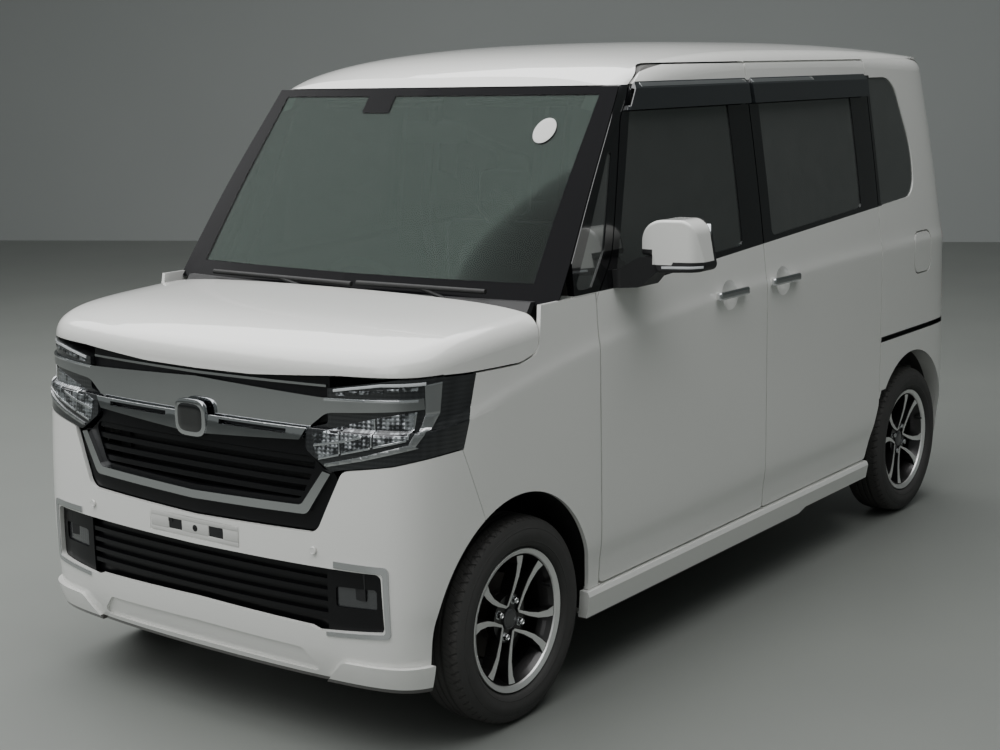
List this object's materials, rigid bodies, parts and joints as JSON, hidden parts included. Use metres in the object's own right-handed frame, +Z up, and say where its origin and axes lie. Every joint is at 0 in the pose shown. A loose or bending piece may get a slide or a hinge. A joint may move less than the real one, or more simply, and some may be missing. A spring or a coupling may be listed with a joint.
{
  "type": "kei car",
  "caption": "Tall box-shaped small car with hinged front doors, sliding rear doors, tailgate, bonnet, steered front wheels and seats inside.",
  "frame": {"origin": "on the ground below the middle of the car's box", "axes": "X across the car with its left side at +X, Y from the nose at -Y to the tail at +Y, Z up"},
  "size_m": [1.8952, 3.395, 1.7897],
  "materials": {
    "pearl_white_paint": "gloss pearl",
    "gloss_black": "gloss",
    "black_plastic": "grained",
    "smoked_acrylic": "polished",
    "cabin_plastic": "grained",
    "clear_glass": "polished",
    "privacy_glass": "polished",
    "clear_lens": "polished",
    "red_lens": "polished",
    "chrome": "mirror",
    "tyre": "matte",
    "wheel_alloy": "machined",
    "underbody_steel": "satin",
    "chassis_steel": "satin",
    "cast_metal": "rough",
    "engine_alloy": "cast",
    "exhaust_steel": "satin",
    "seat_cloth": "woven"
  },
  "bodies": {
    "body_shell": {"body_side_left": "pearl_white_paint", "body_side_right": "pearl_white_paint", "bulkhead": "black_plastic", "chrome_trim": "chrome", "cowl_cover": "black_plastic", "dashboard": "cabin_plastic", "engine_block": "engine_alloy", "exhaust": "exhaust_steel", "floor_pan": "underbody_steel", "front_bumper": "pearl_white_paint", "front_frame": "chassis_steel", "front_seats": "seat_cloth", "front_suspension": "chassis_steel", "front_wings": "pearl_white_paint", "fuel_tank": "black_plastic", "grille": "gloss_black", "headlamps": "clear_lens", "lower_grille": "black_plastic", "rear_axle": "chassis_steel", "rear_bumper": "pearl_white_paint", "rear_seats": "seat_cloth", "roof_panel": "pearl_white_paint", "side_glass": "privacy_glass", "side_skirts": "pearl_white_paint", "side_visors": "smoked_acrylic", "sliding_door_left": "pearl_white_paint", "sliding_door_right": "pearl_white_paint", "tail_lamps": "red_lens", "wheel_liners": "wheel_alloy", "windscreen": "clear_glass", "wipers": "black_plastic"},
    "front_door_left": {"front_door_left": "pearl_white_paint", "front_door_glass_left": "clear_glass", "front_door_visor_left": "smoked_acrylic", "door_mirror_left": "pearl_white_paint"},
    "front_door_right": {"front_door_right": "pearl_white_paint", "front_door_glass_right": "clear_glass", "front_door_visor_right": "smoked_acrylic", "door_mirror_right": "pearl_white_paint"},
    "tailgate": {"tailgate": "pearl_white_paint", "tailgate_glass": "privacy_glass", "rear_spoiler": "pearl_white_paint"},
    "bonnet": {"bonnet": "pearl_white_paint"},
    "fuel_lid": {"fuel_lid": "pearl_white_paint"},
    "steering_wheel": {"steering_wheel": "cabin_plastic"},
    "knuckle_left": {"knuckle_left": "cast_metal"},
    "knuckle_right": {"knuckle_right": "cast_metal"},
    "wheel_front_left": {"tyre_front_left": "tyre", "wheel_front_left": "wheel_alloy"},
    "wheel_front_right": {"tyre_front_right": "tyre", "wheel_front_right": "wheel_alloy"},
    "wheel_rear_left": {"tyre_rear_left": "tyre", "wheel_rear_left": "wheel_alloy"},
    "wheel_rear_right": {"tyre_rear_right": "tyre", "wheel_rear_right": "wheel_alloy"}
  },
  "joints": [
    {"name": "front_door_left_hinge", "type": "hinge", "parent": "body_shell", "child": "front_door_left", "pos_m": [0.741, -0.857, 0.7], "axis": [0, 0, -1], "range_deg": [0, 68]},
    {"name": "front_door_right_hinge", "type": "hinge", "parent": "body_shell", "child": "front_door_right", "pos_m": [-0.741, -0.857, 0.7], "axis": [0, 0, 1], "range_deg": [0, 68]},
    {"name": "tailgate_hinge", "type": "hinge", "parent": "body_shell", "child": "tailgate", "pos_m": [0, 1.492, 1.757], "axis": [1, 0, 0], "range_deg": [0, 82]},
    {"name": "bonnet_hinge", "type": "hinge", "parent": "body_shell", "child": "bonnet", "pos_m": [0, -1.07, 1.106], "axis": [-1, 0, 0], "range_deg": [0, 50]},
    {"name": "fuel_lid_hinge", "type": "hinge", "parent": "body_shell", "child": "fuel_lid", "pos_m": [0.7405, 1.286, 0.997], "axis": [0, 0, -1], "range_deg": [0, 90]},
    {"name": "steering_left", "type": "hinge", "parent": "body_shell", "child": "knuckle_left", "pos_m": [0.606, -1.225, 0.2785], "axis": [0, 0, 1], "range_deg": [-35, 35]},
    {"name": "steering_right", "type": "hinge", "parent": "body_shell", "child": "knuckle_right", "pos_m": [-0.606, -1.225, 0.2785], "axis": [0, 0, 1], "range_deg": [-35, 35]},
    {"name": "steering_wheel_turn", "type": "hinge", "parent": "body_shell", "child": "steering_wheel", "pos_m": [-0.33, -0.56, 0.96], "axis": [0, 0.8645, 0.5026], "range_deg": [-560, 560]},
    {"name": "wheel_front_left_spin", "type": "hinge", "parent": "knuckle_left", "child": "wheel_front_left", "pos_m": [0.6525, -1.225, 0.2785], "axis": [1, 0, 0], "continuous": true},
    {"name": "wheel_front_right_spin", "type": "hinge", "parent": "knuckle_right", "child": "wheel_front_right", "pos_m": [-0.6525, -1.225, 0.2785], "axis": [1, 0, 0], "continuous": true},
    {"name": "wheel_rear_left_spin", "type": "hinge", "parent": "body_shell", "child": "wheel_rear_left", "pos_m": [0.6525, 1.295, 0.2785], "axis": [1, 0, 0], "continuous": true},
    {"name": "wheel_rear_right_spin", "type": "hinge", "parent": "body_shell", "child": "wheel_rear_right", "pos_m": [-0.6525, 1.295, 0.2785], "axis": [1, 0, 0], "continuous": true}
  ],
  "couplings": [
    {"joint": "steering_right", "follows": "steering_left", "ratio": 1},
    {"joint": "steering_wheel_turn", "follows": "steering_left", "ratio": 16}
  ]
}
